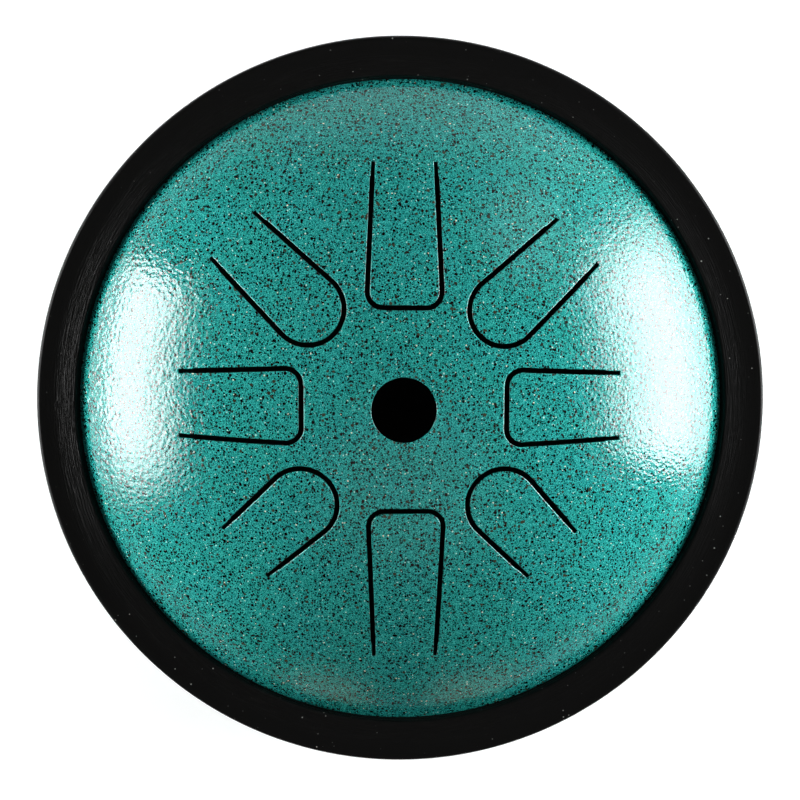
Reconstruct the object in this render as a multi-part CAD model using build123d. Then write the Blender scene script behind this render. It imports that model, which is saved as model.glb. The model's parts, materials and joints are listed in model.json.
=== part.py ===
from build123d import *

import os
from collections import namedtuple
from math import asin, cos, hypot, pi, radians, sin, sqrt, tan

# Steel tongue drum: two pressed steel shells flange to flange, eight tongues cut in the upper one,
# a rubber band over the flange pair and three rubber feet.
# Millimetres and degrees. The drum stands on z = 0 with its axis on Z. +X is the right side and
# +Y the far side of the player.

# Driving dimensions: the pressed shells
sheet = 1.0                      # steel thickness
flange_radius = 75.0             # outer edge of both flanges
flange_width = 6.0               # flat part of a flange
flange_bend_radius = 1.0         # hollow of the bend between wall and flange
shoulder_width = 21.0            # plan width from the cap's edge to the flat flange
top_cap_radius = 102.0           # roundness of the upper shell's middle
top_wall_slope = 45.5            # steepest slope of the upper shell, where it meets the flange bend
base_cap_radius = 260.0          # roundness of the lower shell's middle
base_wall_slope = 65.0           # steepest slope of the lower shell
sound_hole_diameter = 13.6
seal_thickness = 0.3             # film between the flanges
ground_clearance = 3.0           # room under the lower shell's middle

# Driving dimensions: the tongues
slot_width = 1.05
tongue_taper = 2.55              # each side of a tongue closes in this much towards its root
tongue_width = 15.85             # across the slot middles, measured at the tip
far_right_width = 15.35          # the same for the tongue at the far right, which is cut narrower
tip_corner_radius = 3.3          # middle of the slot round a square tip's corner
root_clearance = 0.05            # room round the bending line

# Driving dimensions: tuning magnets
magnet_diameter = 4.0
magnet_thickness = 1.0
magnet_inset = 6.0               # from a tongue's tip to the magnet's middle
magnet_clearance = 0.1           # glue between a tongue and its magnet's rim

# Driving dimensions: rubber band
band_wall = 2.4                  # rubber outside the flange's edge
band_height = 6.4
band_lip_clearance = 0.1         # between the band's lip and the start of the flat flange
band_toe_clearance = 0.1         # between the lip's toe and the foot of the shell's wall
band_slot_clearance = 0.1        # between the flange's edge and the bottom of the band's channel
band_dish = 0.15                 # hollow of the band's upper and lower faces between their edges
band_bulge = 0.1                 # swell of the band's outer face between its edges
band_lip_rounding = 0.7
band_edge_rounding = 0.7

# Driving dimensions: feet
foot_count = 3
foot_diameter = 13.0             # at the shell
foot_ground_diameter = 11.0
foot_edge_rounding = 0.8
foot_margin = 3.0                # from the cap's edge to the foot's edge
foot_first_angle = 90.0
adhesive_diameter = 11.0
adhesive_thickness = 0.6

# Distance of each tongue's root from the drum's centre, along the tongue's middle line
far_root = 51.1
far_right_root = 50.3
right_root = 45.5
near_right_root = 44.35
near_root = 53.35
near_left_root = 45.25
left_root = 46.85
far_left_root = 50.55

# Distance from the drum's centre to the middle of the slot round each tongue's tip
far_tip = 21.1
far_right_tip = 21.9
right_tip = 21.4
near_right_tip = 21.35
near_tip = 21.3
near_left_tip = 21.7
left_tip = 21.3
far_left_tip = 21.3

# How far each tongue's middle line passes to the left of the drum's centre, looking outwards
far_offset = 0.0
far_right_offset = 1.2
right_offset = 0.55
near_right_offset = 1.45
near_offset = 0.4
near_left_offset = 0.25
left_offset = -0.8
far_left_offset = -1.45

# The tongues, clockwise from the far side: which way the middle line points, sizes and the tip's form
Tongue = namedtuple("Tongue", "direction offset root tip width round_tip")
tongues = [
    Tongue(89.5, far_offset, far_root, far_tip, tongue_width, False),
    Tongue(41.7, far_right_offset, far_right_root, far_right_tip, far_right_width, True),
    Tongue(-0.65, right_offset, right_root, right_tip, tongue_width, False),
    Tongue(-46.8, near_right_offset, near_right_root, near_right_tip, tongue_width, True),
    Tongue(-89.9, near_offset, near_root, near_tip, tongue_width, False),
    Tongue(-137.5, near_left_offset, near_left_root, near_left_tip, tongue_width, True),
    Tongue(-179.8, left_offset, left_root, left_tip, tongue_width, False),
    Tongue(136.5, far_left_offset, far_left_root, far_left_tip, tongue_width, True),
]

# Worked-out sizes
flange_start = flange_radius - flange_width
cap_edge_radius = flange_start - shoulder_width
taper_angle = radians(tongue_taper)
root_radius = sheet              # round of a tongue's root about its bending line
slot_half = slot_width / 2
same_place = 1e-4                # two points closer than this are one


class ShellShape:
    """Section of a pressed shell above its flange's flat side, which lies at height zero"""

    def __init__(self, cap_radius, wall_slope):
        self.cap_radius = cap_radius
        self.cap_angle = asin(cap_edge_radius / cap_radius)
        self.wall_angle = radians(wall_slope)
        self.wall_foot = self.bend(self.wall_angle, 0)
        shoulder_run = self.wall_foot.X - cap_edge_radius
        self.shoulder_radius = shoulder_run / (sin(self.wall_angle) - sin(self.cap_angle))
        self.shoulder_x = cap_edge_radius - self.shoulder_radius * sin(self.cap_angle)
        self.shoulder_z = self.wall_foot.Z - self.shoulder_radius * cos(self.wall_angle)
        cap_edge_height = self.shoulder_z + self.shoulder_radius * cos(self.cap_angle)
        self.cap_z = cap_edge_height - cap_radius * cos(self.cap_angle)
        self.height = self.cap_z + cap_radius

    def cap(self, angle, depth):
        radius = self.cap_radius - depth
        return Vector(radius * sin(angle), 0, self.cap_z + radius * cos(angle))

    def shoulder(self, angle, depth):
        radius = self.shoulder_radius - depth
        return Vector(self.shoulder_x + radius * sin(angle), 0, self.shoulder_z + radius * cos(angle))

    def bend(self, angle, depth):
        radius = flange_bend_radius + depth
        centre_z = sheet + flange_bend_radius
        return Vector(flange_start - radius * sin(angle), 0, centre_z - radius * cos(angle))

    def surface_height(self, radius, depth):
        """Height of the surface that lies depth under the outer one, at a distance from the axis"""
        cap_reach = self.cap_radius - depth
        if radius <= cap_reach * sin(self.cap_angle):
            return self.cap_z + sqrt(cap_reach**2 - radius**2)
        return self.shoulder_z + sqrt((self.shoulder_radius - depth) ** 2 - (radius - self.shoulder_x) ** 2)

    def skin(self, hole_radius, depth):
        """Edges of one surface from the axis, or from a hole's wall, out to the flat flange"""
        start = asin(hole_radius / (self.cap_radius - depth))
        stretches = [
            (self.cap, start, self.cap_angle),
            (self.shoulder, self.cap_angle, self.wall_angle),
            (self.bend, self.wall_angle, 0),
        ]
        return [
            ThreePointArc(point(first, depth), point((first + last) / 2, depth), point(last, depth))
            for point, first, last in stretches
        ]

    def solid(self, hole_radius):
        outside = self.skin(hole_radius, 0)
        inside = self.skin(hole_radius, sheet)
        rim = Polyline(outside[-1] @ 1, (flange_radius, 0, sheet), (flange_radius, 0, 0), inside[-1] @ 1)
        closing = Line(outside[0] @ 0, inside[0] @ 0)
        return revolve(make_face([*outside, *rim.edges(), *inside, closing]), Axis.Z)

    def core(self, outward):
        """Everything under the shell's dome, grown past its outer surface by a distance"""
        cap, shoulder, _ = self.skin(0, -outward)
        side = (shoulder @ 1).X
        walls = Polyline(shoulder @ 1, (side, 0, 0), (0, 0, 0), cap @ 0)
        return revolve(make_face([cap, shoulder, *walls.edges()]), Axis.Z)


top_shape = ShellShape(top_cap_radius, top_wall_slope)
base_shape = ShellShape(base_cap_radius, base_wall_slope)

# Heights of the two flanges' flat sides
seam_height = ground_clearance + base_shape.height + seal_thickness / 2
top_flange_height = seam_height + seal_thickness / 2
base_flange_height = seam_height - seal_thickness / 2
foot_circle = cap_edge_radius - foot_margin - foot_diameter / 2


def hinge_distance(tongue):
    """The bending line runs just inside the ends of the slots"""
    return tongue.root - root_radius - root_clearance


def hinge_height(tongue):
    """Height of the bending line, in the middle of the sheet"""
    plan_radius = hypot(hinge_distance(tongue), tongue.offset)
    return top_flange_height + top_shape.surface_height(plan_radius, sheet / 2)


def tongue_place(tongue):
    """Frame with X along the tongue's middle line, pointing out to its root"""
    return Rot(0, 0, tongue.direction) * Pos(0, tongue.offset, 0)


def slot_outline(tongue, outward):
    """Plan of a tongue's edge, at a distance from the middle of its slot"""
    tip = tongue.tip - outward
    end = tongue.root + root_radius
    half_tip = tongue.width / 2 + outward * (tan(taper_angle) + 1 / cos(taper_angle))
    half_end = half_tip - (end - tip) * tan(taper_angle)
    full_round = half_tip * cos(taper_angle) / (1 + sin(taper_angle))
    corner = full_round if tongue.round_tip else tip_corner_radius + outward
    centre = Vector(tip + corner, half_tip - corner * (tan(taper_angle) + 1 / cos(taper_angle)))

    def on_corner(angle):
        return centre + Vector(corner * cos(angle), corner * sin(angle))

    def mirrored(point):
        return Vector(point.X, -point.Y)

    side_start = on_corner(pi / 2 - taper_angle)
    bend_middle = on_corner(3 * pi / 4 - taper_angle / 2)
    tip_end = on_corner(pi)
    edges = [
        Line((end, half_end), side_start),
        Line(mirrored(side_start), (end, -half_end)),
        Line((end, -half_end), (end, half_end)),
    ]
    if tongue.round_tip:
        edges.append(ThreePointArc(side_start, (tip, 0), mirrored(side_start)))
    else:
        edges.append(ThreePointArc(side_start, bend_middle, tip_end))
        edges.append(Line(tip_end, mirrored(tip_end)))
        edges.append(ThreePointArc(mirrored(tip_end), mirrored(bend_middle), mirrored(side_start)))
    return make_face(edges)


def tongue_cutter(tongue, outward, root_round):
    """Upright block of a tongue's plan, with a round end about its bending line"""
    depth = top_shape.height
    plan = extrude(Pos(0, 0, top_flange_height) * slot_outline(tongue, outward), depth)
    hinge_x = hinge_distance(tongue)
    block = Pos(hinge_x / 2, 0, top_flange_height + depth / 2) * Box(hinge_x, 2 * tongue_width, depth)
    round_end = Cylinder(root_round, 2 * tongue_width, rotation=(90, 0, 0))
    block += Pos(hinge_x, 0, hinge_height(tongue)) * round_end
    return tongue_place(tongue) * (plan & block)


def make_top_sheet():
    return Pos(0, 0, top_flange_height) * top_shape.solid(sound_hole_diameter / 2)


def make_tongue(tongue, top_sheet):
    return top_sheet & tongue_cutter(tongue, -slot_half, root_radius)


def make_top_shell(top_sheet):
    cutters = [tongue_cutter(tongue, slot_half, root_radius + root_clearance) for tongue in tongues]
    return top_sheet - cutters


def make_bottom_shell():
    return Pos(0, 0, base_flange_height) * mirror(base_shape.solid(0), Plane.XY)


def make_magnet(tongue):
    """Disc whose upper rim lies against the tongue's hollow underside"""
    inner_radius = top_cap_radius - sheet
    rim_drop = inner_radius - sqrt(inner_radius**2 - (magnet_diameter / 2) ** 2)
    reach = inner_radius - rim_drop - magnet_clearance - magnet_thickness / 2
    along = tongue.tip + slot_half + magnet_inset
    cap_centre = Vector(0, 0, top_flange_height + top_shape.cap_z)
    spot = (tongue_place(tongue) * Pos(along, 0, 0)).position
    rise = sqrt(inner_radius**2 - spot.X**2 - spot.Y**2)
    outward = Vector(spot.X, spot.Y, rise).normalized()
    return Plane(cap_centre + outward * reach, z_dir=outward) * Cylinder(magnet_diameter / 2, magnet_thickness)


def make_flange_seal():
    ring = Cylinder(flange_radius, seal_thickness) - Cylinder(flange_start, seal_thickness)
    return Pos(0, 0, seam_height) * ring


def corners_at(section, radius, height):
    """The upper and lower corner of a section at a distance from the axis and from its middle"""
    return section.vertices().filter_by(
        lambda corner: abs(corner.X - radius) < same_place and abs(abs(corner.Z) - height) < same_place
    )


def make_rim_band():
    """Channel section turned once round the flange pair, with toes that close the grooves at the walls"""
    lip = flange_start + band_lip_clearance
    channel = flange_radius + band_slot_clearance
    outer_radius = channel + band_wall
    channel_half = sheet + seal_thickness / 2
    edge_height = band_height / 2
    middle_height = edge_height - band_dish
    edge_radius = outer_radius - band_bulge
    middle = (lip + edge_radius) / 2
    toe = top_shape.wall_foot.X
    toe_height = top_shape.wall_foot.Z + seal_thickness / 2 + band_toe_clearance
    section = make_face([
        *Polyline((lip, 0, channel_half), (toe, 0, toe_height), (lip, 0, edge_height)).edges(),
        ThreePointArc((lip, 0, edge_height), (middle, 0, middle_height), (edge_radius, 0, edge_height)),
        ThreePointArc((edge_radius, 0, edge_height), (outer_radius, 0, 0), (edge_radius, 0, -edge_height)),
        ThreePointArc((edge_radius, 0, -edge_height), (middle, 0, -middle_height), (lip, 0, -edge_height)),
        *Polyline(
            (lip, 0, -edge_height),
            (toe, 0, -toe_height),
            (lip, 0, -channel_half),
            (channel, 0, -channel_half),
            (channel, 0, channel_half),
            (lip, 0, channel_half),
        ).edges(),
    ])
    section = fillet(corners_at(section, lip, edge_height), band_lip_rounding)
    section = fillet(corners_at(section, edge_radius, edge_height), band_edge_rounding)
    return Pos(0, 0, seam_height) * revolve(section, Axis.Z)


def foot_place(index):
    return Rot(0, 0, foot_first_angle + index * 360 / foot_count) * Pos(foot_circle, 0, 0)


def base_core(outward):
    """Everything within the lower shell's dome, grown past its outer surface by a distance"""
    return Pos(0, 0, base_flange_height) * mirror(base_shape.core(outward), Plane.XY)


def foot_top_height(radius):
    """Height of the feet's hollow upper side at a distance from the drum's axis"""
    return base_flange_height - base_shape.surface_height(radius, -adhesive_thickness)


def make_foot(index):
    """Rubber foot that widens upwards, hollowed on top to sit on the lower shell"""
    blank_height = foot_top_height(foot_circle + foot_diameter)
    spread = (foot_diameter - foot_ground_diameter) / 2 / foot_top_height(foot_circle)
    ground_radius = foot_ground_diameter / 2
    blank = Cone(ground_radius, ground_radius + spread * blank_height, blank_height)
    blank = fillet(blank.edges().group_by(Axis.Z)[0], foot_edge_rounding)
    # The quarter turn takes the cone's seam out of the plane through the drum's axis
    blank = Rot(0, 0, 90) * Pos(0, 0, blank_height / 2) * blank
    return foot_place(index) * blank - base_core(adhesive_thickness)


def make_foot_adhesive(index):
    column = Pos(0, 0, base_flange_height / 2) * Cylinder(adhesive_diameter / 2, base_flange_height)
    return (foot_place(index) * column & base_core(adhesive_thickness)) - base_core(0)


def make_nodes():
    top_sheet = make_top_sheet()
    nodes = {"top_shell": make_top_shell(top_sheet)}
    for number, tongue in enumerate(tongues, start=1):
        nodes[f"tongue_{number}"] = make_tongue(tongue, top_sheet)
        nodes[f"tuning_magnet_{number}"] = make_magnet(tongue)
    nodes["bottom_shell"] = make_bottom_shell()
    nodes["flange_seal"] = make_flange_seal()
    nodes["rim_band"] = make_rim_band()
    for index in range(foot_count):
        nodes[f"foot_{index + 1}"] = make_foot(index)
        nodes[f"foot_adhesive_{index + 1}"] = make_foot_adhesive(index)
    return nodes


def main():
    os.makedirs("parts", exist_ok=True)
    for name, shape in make_nodes().items():
        export_step(shape, f"parts/{name}.step")
    print(f"seam at {seam_height:.3f}, top at {top_flange_height + top_shape.height:.3f}")
    for number, tongue in enumerate(tongues, start=1):
        spot = (tongue_place(tongue) * Pos(hinge_distance(tongue), 0, 0)).position
        turn = radians(tongue.direction)
        print(
            f"tongue_{number} bends at {spot.X:.4f}, {spot.Y:.4f}, {hinge_height(tongue):.4f}",
            f"about {sin(turn):.6f}, {-cos(turn):.6f}, 0",
        )


main()
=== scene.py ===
import json
import math
from collections import namedtuple

import bpy
import numpy as np
from mathutils import Matrix, Vector
from mathutils.geometry import delaunay_2d_cdt


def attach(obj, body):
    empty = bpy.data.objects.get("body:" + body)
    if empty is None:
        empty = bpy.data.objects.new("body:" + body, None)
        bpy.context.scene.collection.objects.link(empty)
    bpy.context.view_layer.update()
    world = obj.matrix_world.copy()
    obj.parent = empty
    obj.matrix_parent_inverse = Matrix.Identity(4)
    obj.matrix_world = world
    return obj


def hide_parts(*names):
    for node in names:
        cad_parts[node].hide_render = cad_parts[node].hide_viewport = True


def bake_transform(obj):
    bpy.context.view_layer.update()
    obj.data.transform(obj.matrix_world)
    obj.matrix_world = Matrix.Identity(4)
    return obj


# Steel tongue drum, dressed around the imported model.
# Sizes are millimetres in this file and become metres when a mesh is made.
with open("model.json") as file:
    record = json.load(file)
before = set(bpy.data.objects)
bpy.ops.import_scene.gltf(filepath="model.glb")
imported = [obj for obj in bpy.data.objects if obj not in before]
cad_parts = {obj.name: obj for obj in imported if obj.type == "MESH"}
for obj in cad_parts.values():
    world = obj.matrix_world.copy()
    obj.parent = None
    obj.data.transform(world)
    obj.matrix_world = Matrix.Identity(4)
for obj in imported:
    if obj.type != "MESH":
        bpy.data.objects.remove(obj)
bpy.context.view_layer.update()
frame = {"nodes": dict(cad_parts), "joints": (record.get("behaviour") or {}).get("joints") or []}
joints = {joint["child"]: joint for joint in frame["joints"]}
MM = 0.001
tolerance = 1e-6

# Sizes of the pressed shells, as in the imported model
sheet = 1.0
flange_radius = 75.0
flange_start = 69.0
flange_bend_radius = 1.0
cap_edge_radius = 48.0
top_cap_radius = 102.0
top_wall_angle = math.radians(45.5)
base_cap_radius = 260.0
base_wall_angle = math.radians(65.0)
hole_radius = 6.8
seal_thickness = 0.3
ground_clearance = 3.0
foot_count = 3

# Sizes of the tongues and their slots
slot_half = 0.525
tongue_half_width = 7.925        # from the middle line to the slot's middle, at the tip
far_right_half_width = 7.675     # the same for tongue 2, which is cut narrower
tongue_taper = math.radians(2.55)
tip_distances = (21.1, 21.9, 21.4, 21.35, 21.3, 21.7, 21.3, 21.3)
tip_corner_radius = 3.3
hinge_to_root = 1.05             # from a tongue's bending line to the ends of its slots
narrow_length = 2.8              # the last stretch of a slot is narrower
narrow_step = 0.4
narrow_outside = 0.17
narrow_inside = 0.08

# Roundings of the cut edges under the paint, and how finely meshes are divided
slot_rounding = 0.2
hole_rounding = 0.2
rounding_steps = 4
cap_steps = 18
shoulder_steps = 18
bend_steps = 5
turn_steps = 288
hole_share = 4                   # the hole takes every fourth step of a turn
fine_step = 0.45                 # along round tips and corners
side_step = 1.1                  # along straight sides
grid_step = 1.9
grid_row = 0.866 * grid_step     # rows of a triangular grid
grid_margin = 0.55
sheet_edge_radius = 56.0         # the plain turned part of the top begins here

# Sizes of the rubber band
band_lip = 69.1
band_channel = 75.1
band_outer = 77.5
band_half_height = 3.2
band_dish = 0.15
band_bulge = 0.1
band_channel_half = 1.15
band_lip_rounding = 0.7
band_edge_rounding = 0.7
band_toe_clearance = 0.1
band_wiped_sheen_radius = 72.5         # wiped in streaks, which are lighter partly as painted sheen, up to here
band_dull_radius = 74.8          # and dull from here on
band_streak_turn = 3.5           # length of one radian in the streaks' pattern
band_lip_steps = 8
band_face_steps = 12
band_edge_steps = 9
band_side_steps = 7
band_crease_angle = math.radians(40)

# Flecks in the paint and lint on the band, one to a cell at most, with cells filled in a given share
FleckKind = namedtuple("FleckKind", "cell smallest largest share softness")
fine_flecks = FleckKind(cell=0.54, smallest=0.12, largest=0.24, share=1.0, softness=0.02)
coarse_flecks = FleckKind(cell=1.15, smallest=0.21, largest=0.38, share=0.8, softness=0.04)
pale_flecks = FleckKind(cell=0.95, smallest=0.09, largest=0.17, share=0.55, softness=0.02)
lint_flecks = FleckKind(cell=1.6, smallest=0.05, largest=0.15, share=0.7, softness=0.05)

# The camera: leans in degrees, distance in metres, lens and aim beside the seam's middle in millimetres
camera_lean_right = -1.4654
camera_lean_far = 4.6
camera_distance = 0.9
camera_lens = 189.47
camera_aim = (-0.112, -0.141, 0)

# The studio, in metres. Lit panels stand at a turn about the drum's axis, in degrees, and their ends are
# angles from that turn.
floor_reach = 6.0
floor_level = -0.05 * MM         # just under the feet
floor_glow = 0.22
room_light = 0.1
panel_foot = 0.002
low_edge_fade = 0.006
Softbox = namedtuple(
    "Softbox",
    "name turn distance start start_fade end end_fade low_edge dim_share fade_height top strength tint",
)
softboxes = [
    Softbox(
        name="softbox_left", turn=177.5, distance=0.36, strength=18.2, tint=(1, 1, 1, 1),
        start=-24.0, start_fade=0.02, end=31.0, end_fade=0.14,
        low_edge=0.061, dim_share=0.19, fade_height=0.14, top=0.29,
    ),
    Softbox(
        name="softbox_right", turn=11.5, distance=0.36, strength=18.4, tint=(0.98, 0.99, 1, 1),
        start=-29.5, start_fade=0.02, end=29.5, end_fade=0.15,
        low_edge=0.054, dim_share=0.55, fade_height=0.14, top=0.34,
    ),
]


class ShellForm:
    """Section of a pressed shell above the flat side of its flange"""

    def __init__(self, cap_radius, wall_angle):
        self.wall_angle = wall_angle
        self.wall_foot_radius = flange_start - flange_bend_radius * math.sin(wall_angle)
        self.wall_foot_height = sheet + flange_bend_radius * (1 - math.cos(wall_angle))
        self.cap_radius = cap_radius
        self.cap_angle = math.asin(cap_edge_radius / cap_radius)
        shoulder_run = self.wall_foot_radius - cap_edge_radius
        self.shoulder_radius = shoulder_run / (math.sin(wall_angle) - math.sin(self.cap_angle))
        self.shoulder_x = cap_edge_radius - self.shoulder_radius * math.sin(self.cap_angle)
        self.shoulder_z = self.wall_foot_height - self.shoulder_radius * math.cos(wall_angle)
        cap_edge_height = self.shoulder_z + self.shoulder_radius * math.cos(self.cap_angle)
        self.cap_z = cap_edge_height - cap_radius * math.cos(self.cap_angle)
        self.height = self.cap_z + cap_radius

    def surface(self, radius, depth):
        """Heights of the surface that lies depth under the outer one"""
        cap_reach = self.cap_radius - depth
        shoulder_reach = self.shoulder_radius - depth
        on_cap = radius <= cap_reach * math.sin(self.cap_angle)
        cap = self.cap_z + np.sqrt(cap_reach**2 - np.where(on_cap, radius, 0) ** 2)
        run = np.where(on_cap, 0, radius - self.shoulder_x)
        return np.where(on_cap, cap, self.shoulder_z + np.sqrt(shoulder_reach**2 - run**2))

    def slope(self, radius):
        """Angles between the outer surface's normals and the axis"""
        on_cap = radius <= cap_edge_radius
        cap_sine = np.where(on_cap, radius / self.cap_radius, 0)
        shoulder_sine = np.where(on_cap, 0, (radius - self.shoulder_x) / self.shoulder_radius)
        return np.where(on_cap, np.arcsin(cap_sine), np.arcsin(shoulder_sine))

    def skin(self, depth, start_radius):
        """Stations (radius, height, slope) along one surface, out to the flat flange"""
        cap_reach = self.cap_radius - depth
        shoulder_reach = self.shoulder_radius - depth
        stations = []
        if start_radius < cap_reach * math.sin(self.cap_angle):
            first = math.asin(start_radius / cap_reach)
            for angle in np.linspace(first, self.cap_angle, cap_steps, endpoint=False):
                height = self.cap_z + cap_reach * math.cos(angle)
                stations.append((cap_reach * math.sin(angle), height, angle))
            first = self.cap_angle
        else:
            first = math.asin((start_radius - self.shoulder_x) / shoulder_reach)
        for angle in np.linspace(first, self.wall_angle, shoulder_steps, endpoint=False):
            radius = self.shoulder_x + shoulder_reach * math.sin(angle)
            stations.append((radius, self.shoulder_z + shoulder_reach * math.cos(angle), angle))
        bend_reach = flange_bend_radius + depth
        bend_height = sheet + flange_bend_radius
        for angle in np.linspace(self.wall_angle, 0, bend_steps + 1):
            radius = flange_start - bend_reach * math.sin(angle)
            stations.append((radius, bend_height - bend_reach * math.cos(angle), angle))
        return stations

    def section(self, start_radius):
        """Runs of (radius, height, normal) over the outer skin, the flange and the inner skin"""
        outside = [(r, z, math.sin(a), math.cos(a)) for r, z, a in self.skin(0, start_radius)]
        inside = [(r, z, -math.sin(a), -math.cos(a)) for r, z, a in self.skin(sheet, start_radius)]
        outside.append((flange_radius, sheet, 0, 1))
        edge = [(flange_radius, sheet, 1, 0), (flange_radius, 0, 1, 0)]
        inside.append((flange_radius, 0, 0, -1))
        return outside, edge, inside[::-1]


top_form = ShellForm(top_cap_radius, top_wall_angle)
base_form = ShellForm(base_cap_radius, base_wall_angle)
seam_height = ground_clearance + base_form.height + seal_thickness / 2
top_flange_height = seam_height + seal_thickness / 2
base_flange_height = seam_height - seal_thickness / 2


class MeshParts:
    """Points and faces of one piece, with a normal at each face corner"""

    def __init__(self):
        self.points = []
        self.faces = []
        self.normals = []
        self.finishes = []

    def add_points(self, points):
        first = len(self.points)
        self.points.extend(tuple(point) for point in points)
        return list(range(first, len(self.points)))

    def add_face(self, corners, normals, finish=0):
        self.faces.append(tuple(corners))
        self.normals.extend(tuple(normal) for normal in normals)
        self.finishes.append(finish)

    def make(self, name, materials):
        mesh = bpy.data.meshes.new(name)
        points = [(x * MM, y * MM, z * MM) for x, y, z in self.points]
        mesh.from_pydata(points, [], self.faces, shade_flat=False)
        for material in materials:
            mesh.materials.append(material)
        mesh.polygons.foreach_set("material_index", self.finishes)
        mesh.normals_split_custom_set(self.normals)
        piece = bpy.data.objects.new(name, mesh)
        bpy.context.scene.collection.objects.link(piece)
        return piece


def flat_normal(points):
    """Normal of a polygon, summed over its sides"""
    total = Vector((0, 0, 0))
    for here, after in zip(points, points[1:] + points[:1]):
        total += Vector(here).cross(Vector(after))
    return total.normalized()


turn_angles = np.arange(turn_steps) * 2 * math.pi / turn_steps
turn_cosines = np.cos(turn_angles)
turn_sines = np.sin(turn_angles)


def ring_points(radius, height):
    return np.column_stack([radius * turn_cosines, radius * turn_sines, np.full(turn_steps, height)])


def ring_normals(across, up):
    return np.column_stack([across * turn_cosines, across * turn_sines, np.full(turn_steps, up)])


def join_rings(parts, first, second, first_normals, second_normals, finish):
    """Band of faces between two rings, facing the left of the way. A ring on the axis gives triangles."""
    for here in range(turn_steps):
        after = (here + 1) % turn_steps
        corners = [first[here], second[here], second[after], first[after]]
        normals = [first_normals[here], second_normals[here], second_normals[after], first_normals[after]]
        if first[here] == first[after]:
            corners.pop()
            normals.pop()
        elif second[here] == second[after]:
            corners.pop(2)
            normals.pop(2)
        parts.add_face(corners, normals, finish)


def turn_runs(parts, runs, height, flip, finishes, first_ring=None, last_ring=None):
    """Turns runs of stations once round the axis. A run starts on the ring where the last one ended."""
    sign = -1 if flip else 1
    ring = first_ring
    normals = None
    for run_number, run in enumerate(runs):
        for number, (radius, z, across, up) in enumerate(run):
            new_normals = ring_normals(across, sign * up)
            if number == 0 and ring is not None:
                normals = new_normals
                continue
            is_last = run_number == len(runs) - 1 and number == len(run) - 1
            if is_last and last_ring is not None:
                new_ring = last_ring
            elif radius < tolerance:
                new_ring = parts.add_points([(0, 0, height + sign * z)]) * turn_steps
            else:
                new_ring = parts.add_points(ring_points(radius, height + sign * z))
            if ring is not None:
                if flip:
                    join_rings(parts, new_ring, ring, new_normals, normals, finishes[run_number])
                else:
                    join_rings(parts, ring, new_ring, normals, new_normals, finishes[run_number])
            ring = new_ring
            normals = new_normals


class Slot:
    """One tongue's slot in plan: a closed loop with the slot on its left hand"""

    def __init__(self, joint, tip_distance, half_width, round_tip):
        axis = joint["axis"]
        hinge = np.array(joint["pos_m"][:2]) / MM
        self.outward = np.array([-axis[1], axis[0]])
        self.left = np.array([-self.outward[1], self.outward[0]])
        self.offset = float(hinge @ self.left)
        self.root = float(hinge @ self.outward) + hinge_to_root
        self.tip_distance = tip_distance
        self.half_width = half_width
        self.round_tip = round_tip
        outside = self.edge(slot_half, -narrow_outside)
        inside = self.edge(-slot_half, narrow_inside)
        self.tongue_start = len(outside)
        self.loop = self.place(np.vstack([outside, inside[::-1]]))

    def place(self, points):
        """Drum coordinates of points in the tongue's own frame, X outwards along its middle line"""
        return points[:, :1] * self.outward + (points[:, 1:] + self.offset) * self.left

    def edge(self, away, narrowing):
        """One edge of the slot, from the root on the left, round the tip, to the root on the right"""
        tangent = math.tan(tongue_taper)
        tip = self.tip_distance - away
        half_tip = self.half_width + away * (tangent + 1 / math.cos(tongue_taper))
        corner = tip_corner_radius + away
        if self.round_tip:
            corner = half_tip * math.cos(tongue_taper) / (1 + math.sin(tongue_taper))
        centre_x = tip + corner
        centre_y = half_tip - corner * (tangent + 1 / math.cos(tongue_taper))
        side_angle = math.pi / 2 - tongue_taper
        side_end = centre_x + corner * math.cos(side_angle)
        narrow_start = self.root - narrow_length
        steps = max(2, round((narrow_start - narrow_step - side_end) / side_step))
        along = [self.root, self.root - narrow_length / 2, narrow_start, narrow_start - narrow_step]
        along.extend(np.linspace(narrow_start - narrow_step, side_end, steps, endpoint=False)[1:])
        half = []
        for x in along:
            share = min(max((x - narrow_start + narrow_step) / narrow_step, 0), 1)
            half.append((x, half_tip - (x - tip) * tangent + narrowing * share))
        arc_steps = max(6, round(corner * (math.pi - side_angle) / fine_step))
        for angle in np.linspace(side_angle, math.pi, arc_steps + 1):
            half.append((centre_x + corner * math.cos(angle), centre_y + corner * math.sin(angle)))
        half = np.array(half)
        mirrored = half[::-1] * (1, -1)
        if self.round_tip:
            return np.vstack([half, mirrored[1:]])
        tip_steps = max(2, round(2 * centre_y / side_step))
        tip_line = np.linspace(centre_y, -centre_y, tip_steps + 1)[1:-1]
        return np.vstack([half, np.column_stack([np.full(len(tip_line), tip), tip_line]), mirrored])


def into_sheet(loop):
    """Mitred steps away from the opening on a loop's left hand"""
    along = np.roll(loop, -1, axis=0) - loop
    along /= np.linalg.norm(along, axis=1)[:, None]
    right = np.column_stack([along[:, 1], -along[:, 0]])
    before = np.roll(right, 1, axis=0)
    return (right + before) / (1 + np.sum(right * before, axis=1))[:, None]


def inside_polygon(points, polygon):
    """Which points lie inside a polygon in plan"""
    found = np.zeros(len(points), bool)
    for here, after in zip(polygon, np.roll(polygon, -1, axis=0)):
        rises = (here[1] > points[:, 1]) != (after[1] > points[:, 1])
        step = after[1] - here[1] if after[1] != here[1] else 1.0
        crossing = here[0] + (points[:, 1] - here[1]) / step * (after[0] - here[0])
        found ^= rises & (points[:, 0] < crossing)
    return found


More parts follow.
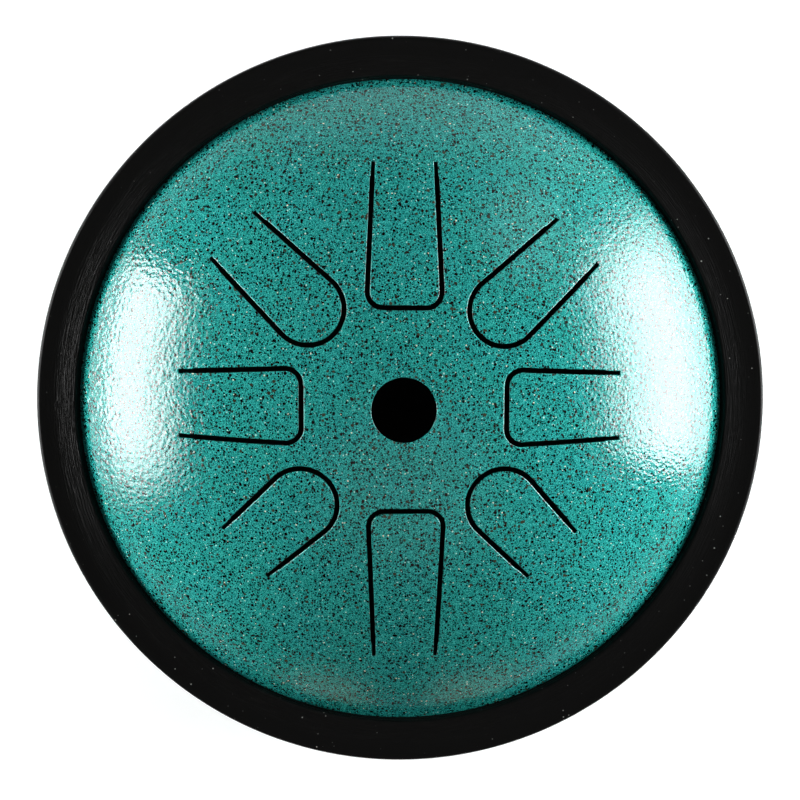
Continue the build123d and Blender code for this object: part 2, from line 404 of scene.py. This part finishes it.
def near_polygon(points, polygon, margin):
    """Which points lie within a margin of a polygon's edges"""
    found = np.zeros(len(points), bool)
    for here, after in zip(polygon, np.roll(polygon, -1, axis=0)):
        side = after - here
        share = np.clip((points - here) @ side / (side @ side), 0, 1)
        gap = points - here - share[:, None] * side
        found |= np.sum(gap**2, axis=1) < margin**2
    return found


class Opening:
    """A loop in the top sheet with its rounded edge"""

    def __init__(self, loop, rounding):
        self.loop = loop
        self.rounding = rounding
        self.steps = into_sheet(loop)
        lengths = np.linalg.norm(self.steps, axis=1)[:, None]
        self.facing = -self.steps / lengths
        self.border = loop + rounding * self.steps


def upper_normals(plan):
    """Normals of the top's outer surface over points in plan"""
    radius = np.linalg.norm(plan, axis=1)
    slope = top_form.slope(radius)
    across = np.sin(slope) / np.maximum(radius, tolerance)
    return np.column_stack([plan * across[:, None], np.cos(slope)])


def upper_points(plan, depth, drop):
    radius = np.linalg.norm(plan, axis=1)
    return np.column_stack([plan, top_flange_height + top_form.surface(radius, depth) - drop])


class TopSheet:
    """The pressed top with its openings. Each face belongs to the shell or to one tongue."""

    def __init__(self, slots):
        self.slots = slots
        turns = np.column_stack([turn_cosines, turn_sines])
        self.openings = [Opening(slot.loop, slot_rounding) for slot in slots]
        self.openings.append(Opening(hole_radius * turns[::hole_share], hole_rounding))
        self.points = np.zeros((0, 3))
        self.normals = np.zeros((0, 3))
        self.faces = []
        self.lay_plan(sheet_edge_radius * turns)
        for number, opening in enumerate(self.openings):
            self.round_edge(number, opening)
        for number, slot in enumerate(slots):
            self.close_root(number, slot)

    def add(self, points, normals):
        first = len(self.points)
        self.points = np.vstack([self.points, points])
        self.normals = np.vstack([self.normals, normals])
        return np.arange(first, len(self.points))

    def lay_plan(self, rim):
        """Triangles between the openings, on both sides of the sheet"""
        plan = [rim]
        edges = []
        counted = 0

        def add_run(points, closed):
            nonlocal counted
            numbers = np.arange(counted, counted + len(points))
            counted += len(points)
            after = np.roll(numbers, -1) if closed else numbers[1:]
            edges.extend(zip(numbers.tolist(), after.tolist()))
            return numbers

        self.rim = add_run(rim, True)
        self.borders = []
        for opening in self.openings:
            self.borders.append(add_run(opening.border, True))
            plan.append(opening.border)
        self.roots = []
        tongue_outlines = []
        for slot, opening, border in zip(self.slots, self.openings, self.borders):
            first, last = opening.border[slot.tongue_start], opening.border[-1]
            steps = max(2, round(np.linalg.norm(last - first) / grid_step))
            line = first + np.linspace(0, 1, steps + 1)[1:-1, None] * (last - first)
            inner = np.arange(counted, counted + len(line))
            counted += len(line)
            chain = [border[slot.tongue_start], *inner.tolist(), border[-1]]
            edges.extend(zip(chain[:-1], chain[1:]))
            self.roots.append(chain)
            plan.append(line)
            tongue_outlines.append(opening.border[slot.tongue_start:])
        plan.append(self.grid())
        plan = np.vstack(plan)

        corners = [Vector(point) for point in plan]
        kept, _, triangles, _, _, _ = delaunay_2d_cdt(corners, edges, [], 0, tolerance)
        if len(kept) != len(plan):
            raise ValueError("the plan's points were merged or split")
        triangles = np.array(triangles)
        middles = plan[triangles].mean(axis=1)
        solid = np.ones(len(triangles), bool)
        for opening in self.openings:
            solid &= ~inside_polygon(middles, opening.border)
        owner = np.zeros(len(triangles), int)
        for number, outline in enumerate(tongue_outlines, start=1):
            owner[inside_polygon(middles, outline)] = number

        normals = upper_normals(plan)
        self.upper = self.add(upper_points(plan, 0, 0), normals)
        self.under = self.add(upper_points(plan, sheet, 0), -normals)
        first, second, third = (plan[triangles[:, side]] for side in range(3))
        turn = np.cross(second - first, third - first)
        for triangle, whose, left in zip(triangles[solid], owner[solid], turn[solid] > 0):
            upper = triangle if left else triangle[::-1]
            self.faces.append((whose, tuple(self.upper[upper]), None, 0))
            self.faces.append((whose, tuple(self.under[upper[::-1]]), None, 1))

    def grid(self):
        """Evenly spread points that keep clear of every outline"""
        rows = int(sheet_edge_radius / grid_row) + 1
        spots = []
        for row in range(-rows, rows + 1):
            shift = grid_step / 2 * (row % 2)
            for column in range(-rows, rows + 1):
                spots.append((column * grid_step + shift, row * grid_row))
        spots = np.array(spots)
        spots = spots[np.linalg.norm(spots, axis=1) < sheet_edge_radius - grid_margin]
        for slot, opening in zip(self.slots, self.openings):
            root_line = opening.border[[slot.tongue_start, -1]]
            spots = spots[~near_polygon(spots, root_line, grid_margin)]
        for opening in self.openings:
            away = ~inside_polygon(spots, opening.border)
            spots = spots[away & ~near_polygon(spots, opening.border, grid_margin)]
        return spots

    def round_edge(self, number, opening):
        """Rings from the opening's wall over its rounded edge to the flat sheet"""
        count = len(opening.loop)
        facing = np.column_stack([opening.facing, np.zeros(count)])
        rings = []
        for angle in np.linspace(0, math.pi / 2, rounding_steps + 1)[:-1]:
            plan = opening.loop + opening.rounding * (1 - math.cos(angle)) * opening.steps
            drop = opening.rounding * (1 - math.sin(angle))
            normals = math.cos(angle) * facing + math.sin(angle) * upper_normals(plan)
            normals /= np.linalg.norm(normals, axis=1)[:, None]
            rings.append(self.add(upper_points(plan, 0, drop), normals))
        rings.append(self.upper[self.borders[number]])
        foot = self.add(upper_points(opening.loop, sheet, 0), facing)
        opening.rings = rings
        opening.foot = foot
        under = self.under[self.borders[number]]
        for here in range(count):
            after = (here + 1) % count
            whose = self.owner_of_side(number, here)
            for inner, outer in zip(rings[:-1], rings[1:]):
                corners = (inner[here], outer[here], outer[after], inner[after])
                self.faces.append((whose, corners, None, 0))
            wall = (rings[0][here], rings[0][after], foot[after], foot[here])
            self.faces.append((whose, wall, None, 0))
            beneath = (foot[here], foot[after], under[after], under[here])
            normals = self.normals[[under[here], under[after], under[after], under[here]]]
            self.faces.append((whose, beneath, normals, 1))

    def owner_of_side(self, number, side):
        if number == len(self.slots):
            return 0
        slot = self.slots[number]
        return number + 1 if slot.tongue_start <= side < len(slot.loop) - 1 else 0

    def close_root(self, number, slot):
        """Cut faces where a tongue leaves the shell, on both sides of the cut"""
        opening = self.openings[number]
        first, last = slot.tongue_start, len(slot.loop) - 1
        chain = self.roots[number]
        first_edge = [ring[first] for ring in opening.rings]
        last_edge = [ring[last] for ring in opening.rings[::-1]]
        cuts = [[*first_edge, self.under[chain[0]], opening.foot[first]]]
        for here, after in zip(chain[:-1], chain[1:]):
            cuts.append([self.upper[here], self.upper[after], self.under[after], self.under[here]])
        cuts.append([*last_edge, opening.foot[last], self.under[chain[-1]]])
        for corners in cuts:
            normal = flat_normal([tuple(self.points[corner]) for corner in corners])
            facing_root = normal.xy @ Vector(slot.outward) > 0
            for whose, turned in ((number + 1, not facing_root), (0, facing_root)):
                ordered = corners[::-1] if turned else corners
                side = -normal if turned else normal
                self.faces.append((whose, tuple(ordered), [tuple(side)] * len(corners), 1))

    def parts(self, whose):
        """Points and faces of the shell, numbered 0, or of one tongue"""
        parts = MeshParts()
        numbers = {}

        def number_of(corner):
            if corner not in numbers:
                numbers[corner] = parts.add_points([self.points[corner]])[0]
            return numbers[corner]

        for owner, corners, normals, finish in self.faces:
            if owner == whose:
                normals = self.normals[list(corners)] if normals is None else normals
                parts.add_face([number_of(corner) for corner in corners], normals, finish)
        return parts, number_of


class Graph:
    """Short ways to add nodes to a material or world"""

    def __init__(self, tree):
        self.tree = tree

    def node(self, kind, **settings):
        node = self.tree.nodes.new(kind)
        for name, value in settings.items():
            setattr(node, name, value)
        return node

    def feed(self, socket, value):
        if isinstance(value, bpy.types.NodeSocket):
            self.tree.links.new(value, socket)
        else:
            socket.default_value = value

    def math(self, operation, *values, clamp=False):
        node = self.node("ShaderNodeMath", operation=operation, use_clamp=clamp)
        for socket, value in zip(node.inputs, values):
            self.feed(socket, value)
        return node.outputs[0]

    def mix(self, share, first, second):
        node = self.node("ShaderNodeMix", data_type="RGBA")
        self.feed(node.inputs["Factor"], share)
        self.feed(node.inputs[6], first)
        self.feed(node.inputs[7], second)
        return node.outputs[2]

    def ramp(self, value, low, high, first=0.0, last=1.0):
        """Smooth step of a value between two limits"""
        node = self.node("ShaderNodeMapRange", interpolation_type="SMOOTHSTEP")
        for socket, number in zip(node.inputs, (value, low, high, first, last)):
            self.feed(socket, number)
        return node.outputs[0]

    def noise(self, where, size, detail=2.0, roughness=0.5):
        """Noise whose features measure about a size in millimetres"""
        node = self.node("ShaderNodeTexNoise")
        self.feed(node.inputs["Vector"], where)
        node.inputs["Scale"].default_value = 1 / (size * MM)
        node.inputs["Detail"].default_value = detail
        node.inputs["Roughness"].default_value = roughness
        return node.outputs

    def cells(self, where, size):
        node = self.node("ShaderNodeTexVoronoi")
        self.feed(node.inputs["Vector"], where)
        node.inputs["Scale"].default_value = 1 / (size * MM)
        return node.outputs

    def shift(self, where, by):
        node = self.node("ShaderNodeVectorMath", operation="ADD")
        self.feed(node.inputs[0], where)
        self.feed(node.inputs[1], by)
        return node.outputs[0]

    def scale(self, vector, by):
        node = self.node("ShaderNodeVectorMath", operation="SCALE")
        self.feed(node.inputs[0], vector)
        self.feed(node.inputs["Scale"], by)
        return node.outputs[0]

    def dot(self, vector, turn, rise):
        """Cosine of the angle to a direction given by its turn about Z and its rise, in degrees"""
        node = self.node("ShaderNodeVectorMath", operation="DOT_PRODUCT")
        turn = math.radians(turn)
        rise = math.radians(rise)
        flat = math.cos(rise)
        self.feed(node.inputs[0], vector)
        self.feed(node.inputs[1], (flat * math.cos(turn), flat * math.sin(turn), math.sin(rise)))
        return node.outputs["Value"]

    def split(self, vector):
        node = self.node("ShaderNodeSeparateXYZ")
        self.feed(node.inputs[0], vector)
        return node.outputs

    def bump(self, height, distance, strength, under=None):
        node = self.node("ShaderNodeBump")
        self.feed(node.inputs["Height"], height)
        self.feed(node.inputs["Distance"], distance * MM)
        self.feed(node.inputs["Strength"], strength)
        if under is not None:
            self.feed(node.inputs["Normal"], under)
        return node.outputs[0]


def new_material(name):
    material = bpy.data.materials.new(name)
    material.use_nodes = True
    graph = Graph(material.node_tree)
    shader = material.node_tree.nodes["Principled BSDF"]
    where = graph.node("ShaderNodeTexCoord").outputs["Object"]
    return material, graph, shader, where


def flecks(graph, where, kind):
    """Round flecks in a share of the cells. Gives their cover, a mound over each and a random tint."""
    distance, colour = graph.cells(where, kind.cell)[:2]
    size, chance, tint = graph.split(colour)[:3]
    spread = (kind.largest - kind.smallest) / kind.cell
    reach = graph.math("MULTIPLY_ADD", size, spread, kind.smallest / kind.cell)
    depth = graph.math("SUBTRACT", reach, distance)
    cover = graph.math("MULTIPLY_ADD", depth, kind.cell / kind.softness, 0.5, clamp=True)
    present = graph.math("LESS_THAN", chance, kind.share)
    mound = graph.math("MULTIPLY", graph.math("MAXIMUM", depth, 0.0), kind.cell)
    return graph.math("MULTIPLY", cover, present), graph.math("MULTIPLY", mound, present), tint


def make_paint():
    """Glossy teal coating over a stone-like grain of dark, brown and cream flecks, with orange peel"""
    green_teal = (0.004, 0.198, 0.168, 1)
    blue_teal = (0.005, 0.198, 0.188, 1)
    light_grain = (0.050, 0.440, 0.395, 1)
    dark_grain = (0.003, 0.090, 0.083, 1)
    fine_black = (0.001, 0.006, 0.0055, 1)
    coarse_black = (0.001, 0.003, 0.003, 1)
    coarse_brown = (0.034, 0.033, 0.018, 1)
    pale_green = (0.38, 0.62, 0.55, 1)
    pale_cream = (0.66, 0.62, 0.45, 1)

    material, graph, shader, where = new_material("speckled_paint")
    wander = graph.noise(where, 0.4, 1.0)["Color"]
    centred = graph.shift(wander, (-0.5, -0.5, -0.5))
    spot = graph.shift(where, graph.scale(centred, 0.3 * MM))

    broad = graph.noise(where, 9.0, 3.0, 0.6)["Fac"]
    grain = graph.noise(where, 0.2, 1.0, 0.6)["Fac"]
    teal = graph.mix(graph.ramp(broad, 0.3, 0.7), green_teal, blue_teal)
    teal = graph.mix(graph.ramp(grain, 0.53, 0.63), teal, light_grain)
    teal = graph.mix(graph.ramp(grain, 0.46, 0.37), teal, dark_grain)

    fine, fine_mound, _ = flecks(graph, spot, fine_flecks)
    moved = graph.shift(spot, (0.013, 0.007, 0.002))
    coarse, coarse_mound, coarse_tint = flecks(graph, moved, coarse_flecks)
    moved = graph.shift(spot, (0.004, 0.021, 0.009))
    pale, _, pale_tint = flecks(graph, moved, pale_flecks)
    coarse_colour = graph.mix(graph.ramp(coarse_tint, 0.45, 0.95), coarse_black, coarse_brown)
    pale_colour = graph.mix(graph.ramp(pale_tint, 0.6, 0.9), pale_green, pale_cream)
    colour = graph.mix(fine, teal, fine_black)
    colour = graph.mix(coarse, colour, coarse_colour)
    colour = graph.mix(pale, colour, pale_colour)
    graph.feed(shader.inputs["Base Color"], colour)

    across = graph.split(where)[0]
    ripple = graph.noise(where, 3.2, 1.0)["Fac"]
    coarse_peel = graph.noise(where, 1.0, 1.0, 0.45)["Fac"]
    fine_peel = graph.noise(where, 0.72, 1.0, 0.45)["Fac"]
    peeled = graph.bump(ripple, 0.05, 1.0)
    peeled = graph.bump(coarse_peel, 0.10, graph.ramp(across, -0.03, 0.03, 1.0, 0.1), peeled)
    peeled = graph.bump(fine_peel, 0.085, graph.ramp(across, -0.05, 0.05, 0.3, 1.0), peeled)
    peeled = graph.bump(graph.math("MAXIMUM", fine_mound, coarse_mound), 0.04, 1.0, peeled)
    graph.feed(shader.inputs["Normal"], peeled)
    smear = graph.noise(where, 14.0, 3.0)["Fac"]
    graph.feed(shader.inputs["Roughness"], graph.ramp(smear, 0.3, 0.7, 0.07, 0.11))
    shader.inputs["IOR"].default_value = 1.51
    return material


def make_primer_and_painted_shade():
    """Thin dark coat inside the shells, kept near-black partly as painted shade, so that the inside shows
    black through the hole and slots
    """
    material, graph, shader, where = new_material("inside_primer_and_painted_shade")
    mottle = graph.noise(where, 5.0, 4.0, 0.6)["Fac"]
    colour = graph.mix(graph.ramp(mottle, 0.3, 0.7), (0.004, 0.005, 0.005, 1), (0.010, 0.012, 0.012, 1))
    graph.feed(shader.inputs["Base Color"], colour)
    graph.feed(shader.inputs["Normal"], graph.bump(graph.noise(where, 0.5)["Fac"], 0.03, 0.5))
    shader.inputs["Roughness"].default_value = 0.75
    return material


def make_band_rubber():
    """Black moulded rubber, wiped in streaks on the inner part of its face, with some lint. The streaks'
    lighter grey is partly wear and partly painted sheen, and is stronger on the left side, where the left
    softbox's light falls.
    """
    material, graph, shader, where = new_material("band_rubber")
    x, y, z = graph.split(where)[:3]
    squares = graph.math("ADD", graph.math("MULTIPLY", x, x), graph.math("MULTIPLY", y, y))
    radius = graph.math("SQRT", squares)
    turn = graph.math("ARCTAN2", y, x)
    lines = graph.node("ShaderNodeCombineXYZ")
    graph.feed(lines.inputs[0], radius)
    graph.feed(lines.inputs[1], graph.math("MULTIPLY", turn, band_streak_turn * MM))
    graph.feed(lines.inputs[2], z)
    streak = graph.noise(lines.outputs[0], 0.3, 3.0, 0.6)["Fac"]
    wiped_and_sheen = graph.ramp(radius, band_wiped_sheen_radius * MM, band_dull_radius * MM, 1.0, 0.1)
    # Towards the left side the streaks get lighter as painted sheen, and their bumps get stronger
    wiped_and_sheen = graph.math("MULTIPLY", wiped_and_sheen, graph.ramp(x, -0.06, 0.06, 1.0, 0.5))
    cloud = graph.noise(where, 11.0, 3.0)["Fac"]
    worn_and_sheen = graph.math("MULTIPLY", wiped_and_sheen, cloud)
    wear_and_sheen = graph.math("MULTIPLY", graph.ramp(streak, 0.45, 0.7), worn_and_sheen)
    # Lighter grey in the streaks: partly wear, partly painted sheen
    colour = graph.mix(wear_and_sheen, (0.0009, 0.0009, 0.0008, 1), (0.0060, 0.0060, 0.0056, 1))
    lint, _, _ = flecks(graph, where, lint_flecks)
    drift = graph.noise(where, 18.0)["Fac"]
    dusty = graph.math("MULTIPLY", lint, graph.ramp(drift, 0.42, 0.62, 0.1, 0.8))
    colour = graph.mix(dusty, colour, (0.34, 0.35, 0.33, 1))
    graph.feed(shader.inputs["Base Color"], colour)
    fine = graph.bump(graph.noise(where, 0.3, 2.0, 0.6)["Fac"], 0.02, 0.6)
    graph.feed(shader.inputs["Normal"], graph.bump(streak, 0.22, wiped_and_sheen, fine))
    graph.feed(shader.inputs["Roughness"], graph.ramp(streak, 0.3, 0.7, 0.42, 0.36))
    shader.inputs["Specular IOR Level"].default_value = 0.14
    return material


def make_foot_rubber():
    """Dull black rubber, scuffed grey in patches"""
    material, graph, shader, where = new_material("foot_rubber")
    scuff = graph.noise(where, 2.0, 5.0, 0.65)["Fac"]
    colour = graph.mix(graph.ramp(scuff, 0.45, 0.8), (0.006, 0.006, 0.006, 1), (0.022, 0.022, 0.021, 1))
    graph.feed(shader.inputs["Base Color"], colour)
    graph.feed(shader.inputs["Normal"], graph.bump(graph.noise(where, 0.3, 3.0, 0.6)["Fac"], 0.03, 0.6))
    graph.feed(shader.inputs["Roughness"], graph.ramp(scuff, 0.3, 0.7, 0.55, 0.7))
    shader.inputs["Specular IOR Level"].default_value = 0.3
    return material


def make_foam(name, base, other):
    """Closed-cell foam of the adhesive pads, or the sealing film's dull skin"""
    material, graph, shader, where = new_material(name)
    distance = graph.cells(where, 0.35)[0]
    colour = graph.mix(graph.ramp(distance, 0.2, 0.7), base, other)
    graph.feed(shader.inputs["Base Color"], colour)
    graph.feed(shader.inputs["Normal"], graph.bump(distance, 0.05, 0.7))
    shader.inputs["Roughness"].default_value = 0.9
    return material


def make_plating():
    """Nickel plate of the magnets, with fine scuffs"""
    material, graph, shader, where = new_material("magnet_plating")
    scuff = graph.noise(where, 0.4, 5.0, 0.7)["Fac"]
    colour = graph.mix(graph.ramp(scuff, 0.3, 0.7), (0.48, 0.47, 0.44, 1), (0.62, 0.60, 0.56, 1))
    graph.feed(shader.inputs["Base Color"], colour)
    graph.feed(shader.inputs["Roughness"], graph.ramp(scuff, 0.3, 0.7, 0.2, 0.36))
    graph.feed(shader.inputs["Normal"], graph.bump(scuff, 0.01, 0.5))
    shader.inputs["Metallic"].default_value = 1.0
    return material


paint = make_paint()
# Inside of the shells: dark primer, near-black partly as painted shade
primer_and_painted_shade = make_primer_and_painted_shade()
band_rubber = make_band_rubber()
foot_rubber = make_foot_rubber()
adhesive_foam = make_foam("adhesive_foam", (0.02, 0.02, 0.02, 1), (0.05, 0.05, 0.05, 1))
seal_film = make_foam("seal_film", (0.10, 0.10, 0.09, 1), (0.16, 0.16, 0.14, 1))
plating = make_plating()


def build_top():
    """The shell and its eight tongues, from one sheet so that their surfaces run on unbroken"""
    slots = []
    for number, tip_distance in enumerate(tip_distances, start=1):
        half_width = far_right_half_width if number == 2 else tongue_half_width
        slots.append(Slot(joints[f"tongue_{number}"], tip_distance, half_width, number % 2 == 0))
    top = TopSheet(slots)

    parts, number_of = top.parts(0)
    upper_rim = [number_of(corner) for corner in top.upper[top.rim]]
    under_rim = [number_of(corner) for corner in top.under[top.rim]]
    runs = top_form.section(sheet_edge_radius)
    turn_runs(parts, runs, top_flange_height, False, (0, 0, 1), upper_rim, under_rim)
    shell = parts.make("drum_top", [paint, primer_and_painted_shade])
    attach(shell, "drum")
    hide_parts("top_shell")

    for number, slot in enumerate(slots, start=1):
        parts, _ = top.parts(number)
        tongue = parts.make(f"sound_tongue_{number}", [paint, primer_and_painted_shade])
        outward = Vector((*slot.outward, 0))
        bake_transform(tongue)
        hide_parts(f"tongue_{number}")


def build_bottom():
    parts = MeshParts()
    turn_runs(parts, base_form.section(0), base_flange_height, True, (0, 0, 1))
    shell = parts.make("drum_bottom", [paint, primer_and_painted_shade])
    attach(shell, "drum")
    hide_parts("bottom_shell")


def band_section():
    """Upper half of the band's section, from its channel over toe and lip to its widest line"""
    edge_height = band_half_height
    edge_radius = band_outer - band_bulge
    toe = top_form.wall_foot_radius
    toe_height = top_form.wall_foot_height + seal_thickness / 2 + band_toe_clearance
    lean = math.atan2(band_lip - toe, edge_height - toe_height)
    lip_x = band_lip + band_lip_rounding * math.tan(math.pi / 4 - lean / 2)
    lip_z = edge_height - band_lip_rounding
    stations = [(band_lip, band_channel_half), (toe, toe_height)]
    for angle in np.linspace(lean, math.pi / 2, band_lip_steps + 1):
        across = band_lip_rounding * math.cos(angle)
        stations.append((lip_x - across, lip_z + band_lip_rounding * math.sin(angle)))
    flat_end = edge_radius - band_edge_rounding
    for share in np.linspace(0, 1, band_face_steps + 1)[1:]:
        dish = band_dish * 4 * share * (1 - share)
        stations.append((lip_x + share * (flat_end - lip_x), edge_height - dish))
    for angle in np.linspace(math.pi / 2, 0, band_edge_steps + 1)[1:]:
        across = band_edge_rounding * math.cos(angle)
        stations.append((flat_end + across, edge_height - band_edge_rounding * (1 - math.sin(angle))))
    side = edge_height - band_edge_rounding
    for share in np.linspace(0, 1, band_side_steps + 1)[1:]:
        height = side * (1 - share)
        stations.append((edge_radius + band_bulge * (1 - (height / side) ** 2), height))
    return stations


def build_band():
    """Rubber channel over the flange pair, turned from its section"""
    upper = band_section()
    lower = [(radius, -height) for radius, height in upper[-2::-1]]
    channel = [(band_channel, -band_channel_half), (band_channel, band_channel_half)]
    outline = [*upper, *lower, *channel]
    parts = MeshParts()
    rings = [parts.add_points(ring_points(radius, seam_height + height)) for radius, height in outline]
    mesh = bpy.data.meshes.new("rim_rubber")
    faces = []
    for ring, following in zip(rings, rings[1:] + rings[:1]):
        for here in range(turn_steps):
            after = (here + 1) % turn_steps
            faces.append((ring[here], following[here], following[after], ring[after]))
    mesh.from_pydata([(x * MM, y * MM, z * MM) for x, y, z in parts.points], [], faces, shade_flat=False)
    mesh.set_sharp_from_angle(angle=band_crease_angle)
    mesh.materials.append(band_rubber)
    band = bpy.data.objects.new("rim_rubber", mesh)
    bpy.context.scene.collection.objects.link(band)
    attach(band, "drum")
    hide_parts("rim_band")


def dress_node(name, material):
    node = frame["nodes"][name]
    node.data.materials.clear()
    node.data.materials.append(material)


build_top()
build_bottom()
build_band()
dress_node("flange_seal", seal_film)
for number in range(1, foot_count + 1):
    dress_node(f"foot_{number}", foot_rubber)
    dress_node(f"foot_adhesive_{number}", adhesive_foam)
for number in range(1, len(tip_distances) + 1):
    dress_node(f"tuning_magnet_{number}", plating)


def add_panel(name, corners, material):
    """One flat face of the studio. Its sizes are metres."""
    mesh = bpy.data.meshes.new(name)
    mesh.from_pydata(corners, [], [(0, 1, 2, 3)])
    mesh.materials.append(material)
    panel = bpy.data.objects.new(name, mesh)
    bpy.context.scene.collection.objects.link(panel)
    return panel


def build_floor():
    """Pale floor under the feet, bright enough to show white to the camera"""
    material, graph, shader, _ = new_material("studio_floor")
    shader.inputs["Base Color"].default_value = (0.92, 0.92, 0.92, 1)
    shader.inputs["Roughness"].default_value = 0.9
    shader.inputs["Specular IOR Level"].default_value = 0.1
    shader.inputs["Emission Color"].default_value = (1, 1, 1, 1)
    ray = graph.node("ShaderNodeLightPath").outputs
    seen = graph.math("ADD", ray["Is Camera Ray"], ray["Is Glossy Ray"])
    seen = graph.math("ADD", seen, ray["Is Transmission Ray"], clamp=True)
    graph.feed(shader.inputs["Emission Strength"], graph.math("MULTIPLY", seen, floor_glow))
    sides = ((-1, -1), (1, -1), (1, 1), (-1, 1))
    corners = [(x * floor_reach, y * floor_reach, floor_level) for x, y in sides]
    floor = add_panel("floor", corners, material)


def build_flag():
    """Low dark card in front of the drum, with two dim warm patches"""
    material, graph, shader, where = new_material("flag_cloth")
    across, _, up = graph.split(where)[:3]
    to_left = graph.math("MULTIPLY", across, -1.0)
    to_right = graph.math("MULTIPLY", across, 0.8)
    aside = graph.math("MAXIMUM", to_left, to_right)
    patch = graph.math("MULTIPLY", graph.ramp(aside, 0.02, 0.06), graph.ramp(aside, 0.12, 0.17, 1.0, 0.0))
    patch = graph.math("MULTIPLY", patch, graph.ramp(up, 0.03, 0.12, 0.75, 0.0))
    shader.inputs["Base Color"].default_value = (0.02, 0.02, 0.02, 1)
    shader.inputs["Roughness"].default_value = 0.9
    shader.inputs["Emission Color"].default_value = (1.0, 0.86, 0.60, 1)
    graph.feed(shader.inputs["Emission Strength"], patch)
    left, right, front, foot, top = -0.26, 0.22, -0.42, 0.002, 0.13
    corners = [(left, front, foot), (right, front, foot), (right, front, top), (left, front, top)]
    flag = add_panel("front_flag", corners, material)
    flag.visible_camera = False


def build_softbox(box):
    """Upright lit panel beside the drum. Its ends and top fade, and it is dim under its low edge."""
    left, right = (box.distance * math.tan(math.radians(angle)) for angle in (box.start, box.end))
    material, graph, shader, where = new_material(box.name)
    graph.tree.nodes.remove(shader)
    across, _, up = graph.split(where)[:3]
    from_left = graph.ramp(across, left, left + box.start_fade)
    from_right = graph.ramp(across, right, right - box.end_fade)
    fall = graph.ramp(up, box.fade_height, box.top, 1.0, 0.0)
    foot = graph.ramp(up, box.low_edge, box.low_edge + low_edge_fade, box.dim_share, 1.0)
    front = graph.math("SUBTRACT", 1.0, graph.node("ShaderNodeNewGeometry").outputs["Backfacing"])
    power = graph.math("MULTIPLY", graph.math("MULTIPLY", from_left, from_right), front)
    power = graph.math("MULTIPLY", power, graph.math("MULTIPLY", fall, foot))
    emission = graph.node("ShaderNodeEmission")
    emission.inputs["Color"].default_value = box.tint
    graph.feed(emission.inputs["Strength"], graph.math("MULTIPLY", power, box.strength))
    graph.feed(graph.tree.nodes["Material Output"].inputs["Surface"], emission.outputs[0])
    corners = [(left, 0, 0), (left, 0, box.top), (right, 0, box.top), (right, 0, 0)]
    panel = add_panel(box.name, corners, material)
    direction = math.radians(box.turn)
    panel.location = (box.distance * math.cos(direction), box.distance * math.sin(direction), panel_foot)
    panel.rotation_euler = (0, 0, direction + math.pi / 2)
    panel.visible_camera = False


def build_world():
    """Dim room with a pale low horizon, lighter behind the drum, and two faint glows above"""
    world = bpy.data.worlds.new("studio")
    world.use_nodes = True
    graph = Graph(world.node_tree)
    direction = graph.node("ShaderNodeTexCoord").outputs["Generated"]
    _, far, up = graph.split(direction)[:3]
    start = graph.ramp(far, -0.6, 0.5, -0.035, 0.07)
    above = graph.math("SUBTRACT", up, start)
    horizon = graph.ramp(above, 0.0, 0.11, 1.1, 0.0)
    behind = graph.ramp(graph.dot(direction, 80.0, 0.0), 0.6, 0.97)
    backdrop = graph.math("MULTIPLY", graph.ramp(up, 0.1, 0.62, 1.0, 0.0), behind)
    overhead = graph.ramp(graph.dot(direction, -83.0, 65.0), 0.88, 0.99, 0.0, 0.30)
    corner = graph.ramp(graph.dot(direction, 48.0, 36.0), 0.955, 0.998, 0.0, 0.95)
    level = graph.math("MAXIMUM", horizon, backdrop)
    level = graph.math("ADD", level, graph.math("ADD", overhead, corner))
    level = graph.math("ADD", level, room_light)
    graph.feed(world.node_tree.nodes["Background"].inputs["Strength"], level)
    world.node_tree.nodes["Background"].inputs["Color"].default_value = (1, 1, 1, 1)
    bpy.context.scene.world = world


def build_camera():
    """Long lens above the drum, leaning a little to the left and to the far side"""
    ring = Vector((0, 0, seam_height * MM))
    aim = ring + Vector(camera_aim) * MM
    sideways = math.sin(math.radians(camera_lean_right))
    towards_far = math.sin(math.radians(camera_lean_far))
    upwards = math.sqrt(1 - sideways**2 - towards_far**2)
    spot = ring + Vector((sideways, towards_far, upwards)) * camera_distance
    data = bpy.data.cameras.new("camera")
    data.lens = camera_lens
    data.sensor_width = 36.0
    data.clip_start = 0.05
    data.clip_end = 50.0
    camera = bpy.data.objects.new("camera", data)
    bpy.context.scene.collection.objects.link(camera)
    back = (spot - aim).normalized()
    right = Vector((0, 1, 0)).cross(back).normalized()
    upright = back.cross(right)
    camera.matrix_world = Matrix.Translation(spot) @ Matrix((right, upright, back)).transposed().to_4x4()
    bpy.context.scene.camera = camera


build_floor()
build_flag()
for softbox in softboxes:
    build_softbox(softbox)
build_world()
build_camera()
bpy.context.scene.view_settings.view_transform = "Standard"
